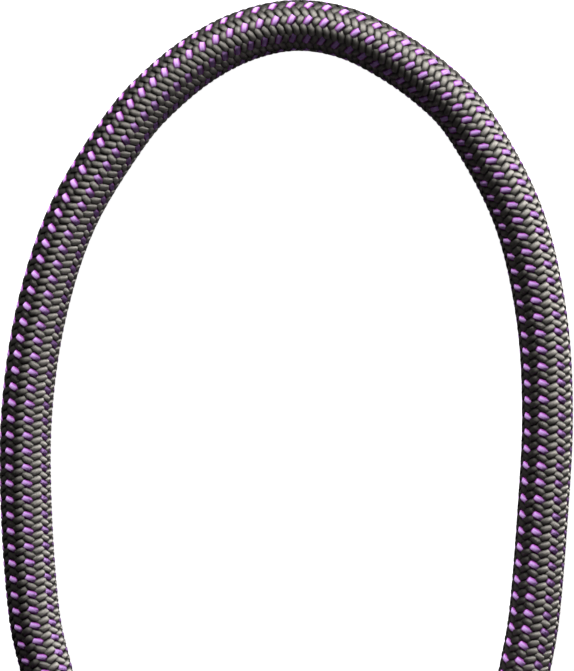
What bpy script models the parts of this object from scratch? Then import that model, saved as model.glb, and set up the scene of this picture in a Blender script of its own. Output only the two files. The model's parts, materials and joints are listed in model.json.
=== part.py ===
"""A dynamic climbing rope: one bight drawn out of a tied hank.

The rope lies on the floor, z = 0. The hank's middle is at the origin, its runs lie along Y, and
the bight reaches out of it towards +Y. From end A the rope goes up the hank's left side, round
the bight and into the hank, where it makes its loops, and end B lies on top of them.
Route points are in millimetres, as (x, y) or (x, y, z); everything else is in metres.
"""

import math

import bmesh
import bpy
import numpy as np

MM = 0.001

# The rope.
ROPE_DIAMETER = 9.8 * MM
ROPE_RADIUS = ROPE_DIAMETER / 2
BORE_RADIUS = 4.0 * MM  # inside of the braided sheath
STRAND_DIAMETER = 1.6 * MM  # one strand of the core
INNER_STRANDS = 3
INNER_RING = 1.1 * MM  # from the rope's middle to an inner strand's
OUTER_STRANDS = 9
OUTER_RING = 2.9 * MM
POINT_SPACING = 2 * ROPE_DIAMETER
GAP = 0.3 * MM  # between pieces that touch

# The hank: loops round two folds, in and out again, in four layers.
RUN = 15 * ROPE_DIAMETER  # straight length of a loop
FOLD_RADIUS = 2.85 * ROPE_DIAMETER  # half width at the innermost leg
STEP = 1.15 * ROPE_DIAMETER  # from one loop to the next
LEGS_TO_REVERSE = 8  # legs from the outermost to the innermost
LAYERS = 4
LAYER_STEP = 1.06 * ROPE_DIAMETER
WAIST_DEPTH = 20 * MM  # how far each leg is drawn in at the waist
WAIST_LIFT = 3 * MM  # room for the tie under the legs
SUNK = ROPE_DIAMETER / 10  # the bottom layer is pressed flat by this much
FLOOR_BLOCK = (0.3, 0.5, 0.02)  # what the bottom layer is pressed flat on, wider than the hank
POINTS_PER_HALF_TURN = 12
SUNK_FROM = 0.8  # half turns: the hank's first leg settles on the floor from here
OUTERMOST = FOLD_RADIUS + LEGS_TO_REVERSE * STEP / 2

# The ends.
SLEEVE_LENGTH = 32 * MM
SLEEVE_WALL = 0.6 * MM
SLEEVE_CLEAR = 2 * MM  # straight rope below the sleeve
FUSED_LENGTH = 3 * MM
FUSED_ROUND = 0.8 * MM  # the melted tip's rounded edge
END_B_Y = 80 * MM  # where end B lies on the top layer
END_B_OUT = 2.0 * MM  # it leans out of the hank's side by this much
END_B_UP = 0.8 * MM

# The tie.
TIE_WIDTH = 25 * MM
TIE_THICKNESS = 1.2 * MM
TIE_CORNER = 8 * MM
TIE_FLAP = (-14 * MM, 34 * MM)  # where its end lies on itself, along X
TIE_RAMP = 3 * MM  # each end of the overlap rises over this length

# End A's tail, from its tip to where it joins the hank's outermost leg.
TAIL_A = [(-81.4, -98), (-79, -81.5), (-76.6, -65), (-73.3, -57)]
TAIL_A_HEIGHT = 5.9 * MM

# The bight, from the top of the left leg round to the top of the right leg.
BIGHT = [
    (-70.8, 86), (-67.2, 98.5), (-60.1, 111.5), (-51.8, 123.5), (-47.7, 135), (-47.3, 145.5),
    (-49.5, 155.5), (-51.8, 165.5), (-53.4, 185.8), (-53.4, 206.2), (-50.5, 226.5),
    (-44.2, 245.9), (-33.6, 263.2), (-26.7, 270.9), (-18.8, 277.3), (-9.7, 282.0), (0.4, 284.1),
    (10.6, 282.5), (19.7, 278.0), (28.1, 272.0), (35.1, 264.5), (44.7, 246.6), (49.5, 226.7),
    (50.8, 206.4), (49.8, 186.0), (48.1, 165.6), (46.3, 155.6), (44.7, 145.5), (45.3, 135),
    (50.0, 123.5), (58.2, 112), (65.0, 100), (68.3, 90),
]


def clear_scene():
    for thing in list(bpy.data.objects):
        bpy.data.objects.remove(thing, do_unlink=True)


def make_material(name, color, roughness, metallic=0.0):
    material = bpy.data.materials.new(name)
    material.use_nodes = True
    shader = material.node_tree.nodes["Principled BSDF"]
    shader.inputs["Base Color"].default_value = (*color, 1.0)
    shader.inputs["Roughness"].default_value = roughness
    shader.inputs["Metallic"].default_value = metallic
    return material


# ---- the rope's route ----


def smoothstep(x):
    x = min(max(x, 0.0), 1.0)
    return x * x * (3 - 2 * x)


def half_width(turn):
    """From the hank's middle line to the rope: in for eight legs, out for eight, and so on."""
    phase = turn % (2 * LEGS_TO_REVERSE)
    inward = min(phase, 2 * LEGS_TO_REVERSE - phase)
    past_the_ends = max(-turn, turn - LAYERS * LEGS_TO_REVERSE, 0)
    if past_the_ends > 0:
        inward = -past_the_ends
    return OUTERMOST - inward * STEP / 2


def layer(turn):
    """The rope climbs one layer along each leg where the spiral reverses."""
    reversals = range(LEGS_TO_REVERSE, LAYERS * LEGS_TO_REVERSE, LEGS_TO_REVERSE)
    return sum(smoothstep((turn - leg) * 2 + 0.5) for leg in reversals)


def waist(y):
    """1 at the waist, 0 from the ends of the runs on."""
    return 0.5 + 0.5 * math.cos(2 * math.pi * y / RUN) if abs(y) < RUN / 2 else 0.0


def hank_point(turn):
    """The rope's middle after so many half turns. Even legs go up the left side."""
    leg = math.floor(turn + 0.25)
    along = turn - leg
    side = -1 if leg % 2 == 0 else 1
    width = half_width(turn)
    if along <= 0.25:
        y = -side * along * 4 * RUN / 2
        x = side * (width - WAIST_DEPTH * waist(y))
    else:
        angle = (along - 0.25) * 2 * math.pi
        x = side * width * math.cos(angle)
        y = -side * (RUN / 2 + width * math.sin(angle))
    return np.array([x, y, ROPE_RADIUS + layer(turn) * LAYER_STEP + WAIST_LIFT * waist(y)])


def through(points, spacing):
    """Points at an even spacing on a smooth curve (Catmull-Rom) through the given points."""
    given = np.vstack([2 * points[0] - points[1], points, 2 * points[-1] - points[-2]])
    steps = np.linspace(0, 1, 24, endpoint=False)[:, None]
    fine = []
    for a, b, c, d in zip(given, given[1:], given[2:], given[3:]):
        bend = 2 * a - 5 * b + 4 * c - d
        fine.append(b + steps * (c - a) / 2 + steps**2 * bend / 2 + steps**3 * (3 * b - a - 3 * c + d) / 2)
    fine = np.vstack([*fine, points[-1:]])
    reach = np.append(0, np.cumsum(np.linalg.norm(np.diff(fine, axis=0), axis=1)))
    stations = np.linspace(0, reach[-1], round(reach[-1] / spacing) + 1)
    return np.array([np.interp(stations, reach, fine[:, axis]) for axis in range(3)]).T


def free_route():
    """End A's tail, the hank's first leg, and the bight."""
    tail = [(x * MM, y * MM, TAIL_A_HEIGHT) for x, y in TAIL_A]
    leg = [hank_point(step / POINTS_PER_HALF_TURN) for step in range(-2, 4)]
    bight = [(x * MM, y * MM, ROPE_RADIUS) for x, y in BIGHT]
    joint = hank_point(0.75) + (0, GAP, 0)
    straight = joint + (0, ROPE_DIAMETER, 0)
    curve = through(np.array([leg[-1], *bight, straight]), POINT_SPACING)
    return np.vstack([tail, leg[:-1], curve, joint])


def hank_route():
    """The loops, from the top of the right leg to end B, with the bottom layer sunk."""
    last = LAYERS * LEGS_TO_REVERSE
    turns = [step / POINTS_PER_HALF_TURN for step in range(9, last * POINTS_PER_HALF_TURN + 2)]
    route = []
    for turn in turns:
        point = hank_point(turn)
        settled = smoothstep((turn - SUNK_FROM) * 4) * (1 - smoothstep(layer(turn)))
        point[2] -= SUNK * settled
        route.append(point)
    straight = route[0] - (0, ROPE_DIAMETER, 0)
    bend_y = END_B_Y - SLEEVE_LENGTH - SLEEVE_CLEAR
    bend = hank_point(last + bend_y / RUN / 2) - (END_B_OUT / 2, 0, 0)
    tip = hank_point(last + 0.25) + (-END_B_OUT, 0, END_B_UP)
    tip[1] = END_B_Y - FUSED_LENGTH - GAP
    return np.vstack([route[0], straight, *route[1:], bend, tip])


def gaps(route, other=None):
    """The least gap of a rope to itself, or to another stretch, on points 2 mm apart."""

    def fine(points):
        pieces = []
        for a, b in zip(points, points[1:]):
            count = max(2, round(np.linalg.norm(b - a) / (2 * MM)))
            pieces.append(a + (b - a) * np.linspace(0, 1, count, endpoint=False)[:, None])
        return np.vstack(pieces)

    one = fine(route)
    two = one if other is None else fine(other)
    apart = 4 * ROPE_DIAMETER / (2 * MM)  # points nearer along the rope aren't compared
    least = math.inf
    for index, point in enumerate(one):
        far = np.linalg.norm(two - point, axis=1)
        if other is None:
            far[np.abs(np.arange(len(two)) - index) < apart] = math.inf
        least = min(least, far.min())
    return least - ROPE_DIAMETER


# ---- the shapes ----


def add(name, mesh, material):
    piece = bpy.data.objects.new(name, mesh)
    piece.data.materials.append(material)
    bpy.context.scene.collection.objects.link(piece)
    return piece


def tube(name, points, radius, resolution, material):
    """A curve object with a round bevel and filled caps."""
    curve = bpy.data.curves.new(name, "CURVE")
    curve.dimensions = "3D"
    curve.bevel_depth = radius
    curve.bevel_resolution = resolution
    curve.use_fill_caps = True
    spline = curve.splines.new("POLY")
    spline.points.add(len(points) - 1)
    for place, point in zip(spline.points, points):
        place.co = (*point, 1.0)
    return add(name, curve, material)


def as_mesh(piece):
    """The same tube as a mesh object, so that it can be cut."""
    name, material = piece.name, piece.data.materials[0]
    mesh = bpy.data.meshes.new_from_object(piece.evaluated_get(bpy.context.evaluated_depsgraph_get()))
    bpy.data.objects.remove(piece, do_unlink=True)
    mesh.materials.clear()
    return add(name, mesh, material)


def cut(piece, cutter):
    """Take the cutter out of the piece, and keep it only as a guide."""
    cutter.hide_render = True
    cutter.display_type = "WIRE"
    boolean = piece.modifiers.new("cut", "BOOLEAN")
    boolean.operation = "DIFFERENCE"
    boolean.object = cutter
    boolean.solver = "EXACT"


def smooth(piece, angle=40):
    piece.data.shade_smooth()
    piece.data.set_sharp_from_angle(angle=math.radians(angle))


def beyond(points, distance):
    """The route with both ends carried on straight."""
    first = points[0] + (points[0] - points[1]) / np.linalg.norm(points[0] - points[1]) * distance
    last = points[-1] + (points[-1] - points[-2]) / np.linalg.norm(points[-1] - points[-2]) * distance
    return np.vstack([first, points[1:-1], last])


def beside(points, out, angle):
    """A route beside another: the same bends, a distance out at an angle round it."""
    along = np.gradient(points, axis=0)
    along /= np.linalg.norm(along, axis=1)[:, None]
    across = np.cross(along, (0, 0, 1))
    across /= np.linalg.norm(across, axis=1)[:, None]
    upward = np.cross(across, along)
    return points + out * (math.cos(angle) * across + math.sin(angle) * upward)


def lathe(name, profile, start, along, sides, material):
    """Turn a closed profile of (radius, distance) round an axis; a radius of 0 closes a pole."""
    along = along / np.linalg.norm(along)
    across = np.cross(along, (0, 0, 1))
    across /= np.linalg.norm(across)
    upward = np.cross(across, along)
    shape = bmesh.new()
    rings = []
    for radius, distance in profile:
        middle = start + along * distance
        count = sides if radius > 0 else 1
        angles = [2 * math.pi * step / sides for step in range(count)]
        rings.append([
            shape.verts.new(middle + radius * (math.cos(a) * across + math.sin(a) * upward))
            for a in angles
        ])
    closed = all(len(ring) == sides for ring in rings)
    pairs = list(zip(rings, rings[1:])) + ([(rings[-1], rings[0])] if closed else [])
    for one, two in pairs:
        for step in range(sides):
            after = (step + 1) % sides
            corners = [one[step % len(one)], one[after % len(one)]]
            corners += [two[after % len(two)], two[step % len(two)]]
            shape.faces.new(list(dict.fromkeys(corners)))
    bmesh.ops.recalc_face_normals(shape, faces=shape.faces)
    mesh = bpy.data.meshes.new(name)
    shape.to_mesh(mesh)
    shape.free()
    return add(name, mesh, material)


# ---- the pieces ----


def make_sheath(route, material):
    sheath = as_mesh(tube("sheath", route, ROPE_RADIUS, 4, material))
    bore = as_mesh(tube("bore_guide", beyond(route, 3 * MM), BORE_RADIUS, 4, material))
    cut(sheath, bore)
    smooth(sheath)


def make_core(route, material):
    rings = [(INNER_STRANDS, INNER_RING, 0.0)]
    rings.append((OUTER_STRANDS, OUTER_RING, math.pi / OUTER_STRANDS))
    number = 0
    for count, out, turn in rings:
        for step in range(count):
            number += 1
            path = beside(route, out, turn + 2 * math.pi * step / count)
            strand = tube(f"core_strand_{number:02d}", path, STRAND_DIAMETER / 2, 1, material)
            strand.data.splines[0].use_smooth = True


def make_hank(route, material):
    hank = as_mesh(tube("hanked_rope", route, ROPE_RADIUS, 1, material))
    block = bmesh.new()
    bmesh.ops.create_cube(block, size=1.0)
    bmesh.ops.scale(block, vec=FLOOR_BLOCK, verts=block.verts)
    bmesh.ops.translate(block, vec=(0, 0, -FLOOR_BLOCK[2] / 2), verts=block.verts)
    mesh = bpy.data.meshes.new("floor_guide")
    block.to_mesh(mesh)
    block.free()
    cut(hank, add("floor_guide", mesh, material))
    smooth(hank, 50)


def make_end(letter, tip, along, sleeve_material, fused_material):
    """The shrink sleeve round the last of the rope, and the melted tip inside its mouth."""
    inner = ROPE_RADIUS + GAP
    outer = inner + SLEEVE_WALL
    ring = [(outer, 0), (outer, SLEEVE_LENGTH), (inner, SLEEVE_LENGTH), (inner, 0)]
    start = tip - along * SLEEVE_LENGTH
    sleeve = lathe(f"end_sleeve_{letter}", ring, start, along, 24, sleeve_material)
    smooth(sleeve)
    cap = [
        (0, 0), (ROPE_RADIUS, 0), (ROPE_RADIUS, FUSED_LENGTH - FUSED_ROUND),
        (ROPE_RADIUS - FUSED_ROUND, FUSED_LENGTH), (0, FUSED_LENGTH + 0.3 * FUSED_ROUND),
    ]
    fused = lathe(f"fused_end_{letter}", cap, tip - along * FUSED_LENGTH, along, 16, fused_material)
    smooth(fused)


def tie_outline():
    """The inside of the tie: a rectangle with round corners that clears the drawn-in legs."""
    point = 2 * RUN / POINTS_PER_HALF_TURN  # the legs run straight from the middle to here
    drawn = WAIST_DEPTH * (1 - (1 - waist(point)) * TIE_WIDTH / 2 / point)
    clear = ROPE_RADIUS + 2 * GAP
    left = -(half_width(0) - drawn + clear)
    right = half_width(1) - drawn + clear
    bottom = TIE_THICKNESS
    top = ROPE_RADIUS + (LAYERS - 1) * LAYER_STEP + WAIST_LIFT + clear
    return left, right, bottom, top


def make_tie(material):
    """A flat strap round the waist, with its end laid over itself on top."""
    left, right, bottom, top = tie_outline()
    corner = TIE_CORNER - TIE_THICKNESS
    inside, outside = [], []
    centres = [
        (right - corner, top - corner, 0), (left + corner, top - corner, 1),
        (left + corner, bottom + corner, 2), (right - corner, bottom + corner, 3),
    ]
    for index, (x, z, quarter) in enumerate(centres):
        for step in range(7):
            angle = (quarter + step / 6) * math.pi / 2
            way = np.array([math.cos(angle), math.sin(angle)])
            inside.append(np.array([x, z]) + corner * way)
            outside.append(np.array([x, z]) + TIE_CORNER * way)
        if index == 0:
            start, end = TIE_FLAP
            flap = [(end, 0), (end - TIE_RAMP, 1), (start + TIE_RAMP, 1), (start, 0)]
            for x_flap, lifted in flap:
                inside.append(np.array([x_flap, top]))
                outside.append(np.array([x_flap, top + TIE_THICKNESS * (1 + lifted)]))
    shape = bmesh.new()
    loops = []
    for outline in (inside, outside):
        for y in (-TIE_WIDTH / 2, TIE_WIDTH / 2):
            loops.append([shape.verts.new((x, y, z)) for x, z in outline])
    inner_front, inner_back, outer_front, outer_back = loops
    walls = [
        (inner_front, inner_back), (inner_back, outer_back),
        (outer_back, outer_front), (outer_front, inner_front),
    ]
    for one, two in walls:
        for step in range(len(one)):
            after = (step + 1) % len(one)
            shape.faces.new([one[step], one[after], two[after], two[step]])
    bmesh.ops.recalc_face_normals(shape, faces=shape.faces)
    mesh = bpy.data.meshes.new("hank_tie")
    shape.to_mesh(mesh)
    shape.free()
    smooth(add("hank_tie", mesh, material))


def make_rope():
    clear_scene()
    braid = make_material("braid", (0.37, 0.33, 0.36), 0.75)
    core_nylon = make_material("core_nylon", (0.86, 0.85, 0.81), 0.6)
    webbing = make_material("webbing", (0.05, 0.05, 0.055), 0.85)
    shrink_film = make_material("shrink_film", (0.03, 0.03, 0.03), 0.35)
    melted = make_material("melted_nylon", (0.10, 0.08, 0.08), 0.4)

    free = free_route()
    hank = hank_route()
    make_sheath(free, braid)
    make_core(free, core_nylon)
    make_hank(hank, braid)
    make_tie(webbing)
    for letter, route in (("a", free[::-1]), ("b", hank)):
        along = route[-1] - route[-2]
        along = along / np.linalg.norm(along)
        tip = route[-1] + along * (FUSED_LENGTH + GAP)
        make_end(letter, tip, along, shrink_film, melted)

    for name, route in (("free stretch", free), ("hank", hank)):
        length = np.linalg.norm(np.diff(route, axis=0), axis=1).sum()
        print(f"{name}: {length:.3f} m, {len(route)} points")
    print(f"least gap of the hank to itself: {gaps(hank) / MM:.2f} mm")
    print(f"least gap of the free stretch to the hank: {gaps(free[:-1], hank) / MM:.2f} mm")


make_rope()
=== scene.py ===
import json
import math
import bpy
import numpy as np
from mathutils import Vector
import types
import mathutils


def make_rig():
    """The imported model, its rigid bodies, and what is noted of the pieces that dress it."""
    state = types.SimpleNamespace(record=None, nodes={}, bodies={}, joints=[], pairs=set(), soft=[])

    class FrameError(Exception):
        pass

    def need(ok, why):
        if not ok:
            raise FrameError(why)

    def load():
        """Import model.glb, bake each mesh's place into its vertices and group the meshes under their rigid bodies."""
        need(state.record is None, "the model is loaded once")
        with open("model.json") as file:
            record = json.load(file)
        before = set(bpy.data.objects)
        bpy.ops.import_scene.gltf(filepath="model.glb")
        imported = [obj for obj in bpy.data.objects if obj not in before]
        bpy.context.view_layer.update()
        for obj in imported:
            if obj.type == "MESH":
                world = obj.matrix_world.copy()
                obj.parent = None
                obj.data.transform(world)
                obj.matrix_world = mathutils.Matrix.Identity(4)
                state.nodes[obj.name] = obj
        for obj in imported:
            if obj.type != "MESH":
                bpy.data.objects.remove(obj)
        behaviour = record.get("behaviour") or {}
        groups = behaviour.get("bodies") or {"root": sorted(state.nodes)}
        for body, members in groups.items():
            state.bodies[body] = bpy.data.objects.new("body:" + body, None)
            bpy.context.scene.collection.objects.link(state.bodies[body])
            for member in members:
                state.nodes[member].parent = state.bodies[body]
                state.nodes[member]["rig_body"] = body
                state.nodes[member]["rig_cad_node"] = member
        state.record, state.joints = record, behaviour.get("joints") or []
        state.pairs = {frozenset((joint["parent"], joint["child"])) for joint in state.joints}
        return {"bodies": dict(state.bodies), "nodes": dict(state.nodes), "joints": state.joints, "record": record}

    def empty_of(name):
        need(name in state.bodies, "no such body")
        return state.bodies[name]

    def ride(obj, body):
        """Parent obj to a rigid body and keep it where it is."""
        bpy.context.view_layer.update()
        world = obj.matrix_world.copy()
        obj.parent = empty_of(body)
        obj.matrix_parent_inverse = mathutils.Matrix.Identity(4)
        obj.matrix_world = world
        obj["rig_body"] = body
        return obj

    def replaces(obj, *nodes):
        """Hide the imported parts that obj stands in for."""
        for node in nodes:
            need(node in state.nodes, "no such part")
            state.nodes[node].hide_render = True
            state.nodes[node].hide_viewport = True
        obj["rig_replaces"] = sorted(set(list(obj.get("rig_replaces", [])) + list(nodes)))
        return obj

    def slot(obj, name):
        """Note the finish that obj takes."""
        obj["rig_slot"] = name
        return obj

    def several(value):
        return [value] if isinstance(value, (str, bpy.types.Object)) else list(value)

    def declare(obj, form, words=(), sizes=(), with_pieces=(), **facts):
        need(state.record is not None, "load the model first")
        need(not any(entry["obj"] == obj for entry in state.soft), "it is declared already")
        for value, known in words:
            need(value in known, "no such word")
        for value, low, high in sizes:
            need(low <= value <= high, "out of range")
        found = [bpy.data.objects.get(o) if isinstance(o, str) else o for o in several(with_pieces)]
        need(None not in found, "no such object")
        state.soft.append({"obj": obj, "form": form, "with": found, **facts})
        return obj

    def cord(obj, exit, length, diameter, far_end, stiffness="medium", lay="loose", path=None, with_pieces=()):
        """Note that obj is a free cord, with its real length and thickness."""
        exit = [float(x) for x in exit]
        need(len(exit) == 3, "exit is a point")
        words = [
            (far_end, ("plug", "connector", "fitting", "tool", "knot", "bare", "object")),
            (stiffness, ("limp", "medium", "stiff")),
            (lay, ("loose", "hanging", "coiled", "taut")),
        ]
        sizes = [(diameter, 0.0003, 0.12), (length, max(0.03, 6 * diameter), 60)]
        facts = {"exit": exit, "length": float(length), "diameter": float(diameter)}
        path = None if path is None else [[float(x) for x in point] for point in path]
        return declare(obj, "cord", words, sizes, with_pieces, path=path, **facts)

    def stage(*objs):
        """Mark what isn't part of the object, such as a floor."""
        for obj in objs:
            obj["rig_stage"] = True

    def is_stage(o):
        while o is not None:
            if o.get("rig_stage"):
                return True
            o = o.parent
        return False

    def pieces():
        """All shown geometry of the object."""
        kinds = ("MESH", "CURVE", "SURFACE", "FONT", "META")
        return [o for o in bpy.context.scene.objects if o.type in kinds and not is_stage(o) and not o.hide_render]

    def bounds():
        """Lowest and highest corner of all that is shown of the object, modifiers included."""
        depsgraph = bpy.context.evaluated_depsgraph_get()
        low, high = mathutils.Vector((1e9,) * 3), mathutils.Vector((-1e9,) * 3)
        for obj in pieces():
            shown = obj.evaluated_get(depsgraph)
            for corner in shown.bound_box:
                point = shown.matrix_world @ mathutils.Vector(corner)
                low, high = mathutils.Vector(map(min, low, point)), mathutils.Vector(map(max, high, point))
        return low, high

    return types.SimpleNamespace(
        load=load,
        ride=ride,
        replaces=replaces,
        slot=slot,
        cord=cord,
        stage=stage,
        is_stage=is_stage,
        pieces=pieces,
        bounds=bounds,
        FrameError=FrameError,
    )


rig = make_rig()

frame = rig.load()
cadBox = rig.bounds()
mm = 0.001

# The rope and its route. Distances are metres, and the listed route points are millimetres.
rope = {
    "diameter": 9.8 * mm,
    "gap": 0.3 * mm,  # between pieces that touch
    "run": 15 * 9.8 * mm,  # straight part of a hank's loop
    "foldRadius": 2.85 * 9.8 * mm,  # of the innermost loop
    "step": 1.15 * 9.8 * mm,  # from one loop to the next
    "legsToReverse": 8,  # from the outermost leg to the innermost
    "layers": 4,
    "layerStep": 1.06 * 9.8 * mm,
    "waistDepth": 20 * mm,  # how far each leg is drawn in where the strap goes round
    "waistLift": 3 * mm,
    "tailHeight": 5.9 * mm,
    "endB": (-2.0 * mm, 80 * mm, 0.8 * mm),  # out of the hank's side, along it and up
    "sleeve": 32 * mm,
    "sleeveClear": 2 * mm,  # straight rope below the sleeve
    "fused": 3 * mm,
    "handOver": 1.0,  # legs: where the hank's own rope takes over, under the strap
    "freeSpacing": 0.5 * mm,  # between the points of the free stretch, and over how far
    "freeSoften": 3 * mm,  # its small kinks are rounded off
    "hankSpacing": 1 * mm,
    "hankSoften": 4 * mm,
}
tailPoints = [(-81.4, -98), (-79, -81.5), (-76.6, -65), (-73.3, -57)]
bightPoints = [
    (-70.8, 86), (-67.2, 98.5), (-60.1, 111.5), (-51.8, 123.5), (-47.7, 135), (-47.3, 145.5),
    (-49.5, 155.5), (-51.8, 165.5), (-53.4, 185.8), (-53.4, 206.2), (-50.5, 226.5),
    (-44.2, 245.9), (-33.6, 263.2), (-26.7, 270.9), (-18.8, 277.3), (-9.7, 282.0), (0.4, 284.1),
    (10.6, 282.5), (19.7, 278.0), (28.1, 272.0), (35.1, 264.5), (44.7, 246.6), (49.5, 226.7),
    (50.8, 206.4), (49.8, 186.0), (48.1, 165.6), (46.3, 155.6), (44.7, 145.5), (45.3, 135),
    (50.0, 123.5), (58.2, 112), (65.0, 100), (68.3, 90),
]
radius = rope["diameter"] / 2
outermost = rope["foldRadius"] + rope["legsToReverse"] * rope["step"] / 2
lastTurn = rope["layers"] * rope["legsToReverse"]


def smoothStep(x):
    x = min(max(x, 0.0), 1.0)
    return x * x * (3 - 2 * x)


def halfWidth(turn):
    # from the hank's middle line to the rope: in for eight legs, out for eight, and so on
    reverse = rope["legsToReverse"]
    phase = turn % (2 * reverse)
    inward = min(phase, 2 * reverse - phase)
    pastEnds = max(-turn, turn - lastTurn, 0)
    if pastEnds > 0:
        inward = -pastEnds
    return outermost - inward * rope["step"] / 2


def layerAt(turn):
    # the rope climbs one layer along each leg where the spiral reverses
    reverse = rope["legsToReverse"]
    return sum(smoothStep((turn - leg) * 2 + 0.5) for leg in range(reverse, lastTurn, reverse))


def waistAt(y):
    return 0.5 + 0.5 * math.cos(2 * math.pi * y / rope["run"]) if abs(y) < rope["run"] / 2 else 0.0


def hankPoint(turn):
    # each whole number is a leg's middle, a quarter either side of it is straight, the rest a fold
    leg = math.floor(turn + 0.25)
    along = turn - leg
    side = -1 if leg % 2 == 0 else 1
    width = halfWidth(turn)
    if along <= 0.25:
        y = -side * along * 2 * rope["run"]
        x = side * (width - rope["waistDepth"] * waistAt(y))
    else:
        angle = (along - 0.25) * 2 * math.pi
        x = side * width * math.cos(angle)
        y = -side * (rope["run"] / 2 + width * math.sin(angle))
    z = radius + layerAt(turn) * rope["layerStep"] + rope["waistLift"] * waistAt(y)
    return np.array([x, y, z])


def catmull(points, stepsBetween=40):
    # a smooth line through the points
    given = np.vstack([2 * points[0] - points[1], points, 2 * points[-1] - points[-2]])
    steps = np.linspace(0, 1, stepsBetween, endpoint=False)[:, None]
    fine = []
    for a, b, c, d in zip(given, given[1:], given[2:], given[3:]):
        bend = 2 * a - 5 * b + 4 * c - d
        fine.append(b + steps * (c - a) / 2 + steps**2 * bend / 2
                    + steps**3 * (3 * b - a - 3 * c + d) / 2)
    return np.vstack([*fine, points[-1:]])


def reachOf(line):
    return np.append(0, np.cumsum(np.linalg.norm(np.diff(line, axis=0), axis=1)))


def atDistances(line, distances):
    reach = reachOf(line)
    return np.array([np.interp(distances, reach, line[:, axis]) for axis in range(3)]).T


def blurred(values, width):
    padded = np.pad(values, (width, width), mode="reflect", reflect_type="odd")
    return np.convolve(padded, np.ones(2 * width + 1) / (2 * width + 1), "valid")


def evenly(line, spacing, soften):
    # even spacing, with small kinks rounded off
    count = round(reachOf(line)[-1] / spacing)
    even = atDistances(line, np.linspace(0, reachOf(line)[-1], count + 1))
    return np.array([blurred(even[:, axis], round(soften / spacing)) for axis in range(3)]).T


# The free stretch runs from end A up the hank's left side, round the bight and under the strap.
tail = [np.array([x * mm, y * mm, rope["tailHeight"]]) for x, y in tailPoints]
firstLeg = [hankPoint(step / 12) for step in range(-2, 4)]
bight = [np.array([x * mm, y * mm, radius]) for x, y in bightPoints]
secondLeg = [hankPoint(0.75) + (0, rope["gap"] + rope["diameter"], 0)]
secondLeg += [hankPoint(0.75 + step / 12) for step in range(4)]
freeLine = evenly(catmull(np.array(tail + firstLeg + bight + secondLeg)), rope["freeSpacing"],
                  rope["freeSoften"])
leftTop = reachOf(freeLine)[np.linalg.norm(freeLine - hankPoint(0.25), axis=1).argmin()]

turns = np.arange(rope["handOver"], lastTurn + 1 / 12, 1 / 120)
bendY = rope["endB"][1] - rope["sleeve"] - rope["sleeveClear"]
hankEnd = hankPoint(lastTurn + bendY / rope["run"] / 2) + (rope["endB"][0] / 2, 0, 0)
hankTip = hankPoint(lastTurn + 0.25) + (rope["endB"][0], 0, rope["endB"][2])
hankTip[1] = rope["endB"][1] - rope["fused"] - rope["gap"]
hankLine = evenly(np.vstack([[hankPoint(turn) for turn in turns], hankEnd, hankTip]),
                  rope["hankSpacing"], rope["hankSoften"])
print(f"route: free stretch {reachOf(freeLine)[-1]:.3f} m, hank {reachOf(hankLine)[-1]:.3f} m")

# How the braid lies along the rope, as (mm from the top of the left run, value) pairs: how many
# rings of flecks there are up to there, and how many degrees the flecks have turned inwards.
braidLay = {
    "ringLength": 3.24 * mm,
    "ringsATurn": 8.0,  # a yarn goes once round the rope in so many
    "counted": [
        (95, 29.26), (115, 35.61), (135, 41.95), (155, 48.25), (175, 54.53), (195, 60.79),
        (205, 63.93), (215, 67.31), (225, 70.73), (235, 74.08), (245, 77.25), (255, 80.34),
        (265, 83.5), (275, 86.68), (285, 89.88), (295, 92.98), (315, 99.04), (335, 105.06),
        (355, 111.06), (375, 117.15), (395, 123.28),
    ],
    "turned": [
        (-200, -41.1), (95, -4.4), (115, 0), (135, 3.1), (155, 3.2), (185, 8.5),
        (205, 13), (225, 22.9), (245, 31.9), (265, 41.8), (285, 43.1), (305, 47.8),
        (325, 50.8), (355, 53.2), (395, 57.5), (560, 77.8),
    ],
    "pastListed": 400,  # mm of even rings before the first listed place and after the last
    "softenRings": 12,  # points of the route on either side, for the rings and the turning
    "softenTurned": 20,
    "hankTwist": 60,  # degrees a metre
}


def ringsAlong(distances):
    known, rings = np.array(braidLay["counted"]).T
    past = braidLay["pastListed"]
    pastRings = past / (braidLay["ringLength"] / mm)
    known = np.concatenate([[known[0] - past], known, [known[-1] + past]])
    rings = np.concatenate([[rings[0] - pastRings], rings, [rings[-1] + pastRings]])
    return np.interp(distances / mm, known, rings)


def spineMesh(name, line, rings, turned, perRing):
    # a vertex for each step of the braid, with the directions that the yarns are laid out by
    wanted = np.arange(math.ceil(rings[0] * perRing), math.floor(rings[-1] * perRing) + 1) / perRing
    wanted = np.concatenate([[rings[0]], wanted[1:-1], [rings[-1]]])
    distances = np.interp(wanted, rings, reachOf(line))
    points = atDistances(line, distances)
    along = np.gradient(points, distances, axis=0)
    along /= np.linalg.norm(along, axis=1)[:, None]
    inward = np.cross(along, (0, 0, 1))
    inward /= np.linalg.norm(inward, axis=1)[:, None]
    mesh = bpy.data.meshes.new(name)
    mesh.from_pydata(points.tolist(), [(i, i + 1) for i in range(len(points) - 1)], [])
    columns = {"along": along, "inward": inward, "ring": wanted,
               "turned": np.radians(np.interp(distances, reachOf(line), turned))}
    for label, values in columns.items():
        kind, field = ("FLOAT", "value") if values.ndim == 1 else ("FLOAT_VECTOR", "vector")
        column = mesh.attributes.new(label, kind, "POINT")
        column.data.foreach_set(field, values.astype(np.float32).ravel())
    return mesh, points


freeReach = reachOf(freeLine)
freeRings = blurred(ringsAlong(freeReach - leftTop), braidLay["softenRings"])
freeTurned = blurred(np.interp((freeReach - leftTop) / mm, *np.array(braidLay["turned"]).T),
                     braidLay["softenTurned"])
hankReach = reachOf(hankLine)
hankRings = freeRings[-1] + hankReach / braidLay["ringLength"]
hankTurned = freeTurned[-1] + hankReach * braidLay["hankTwist"]


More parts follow.
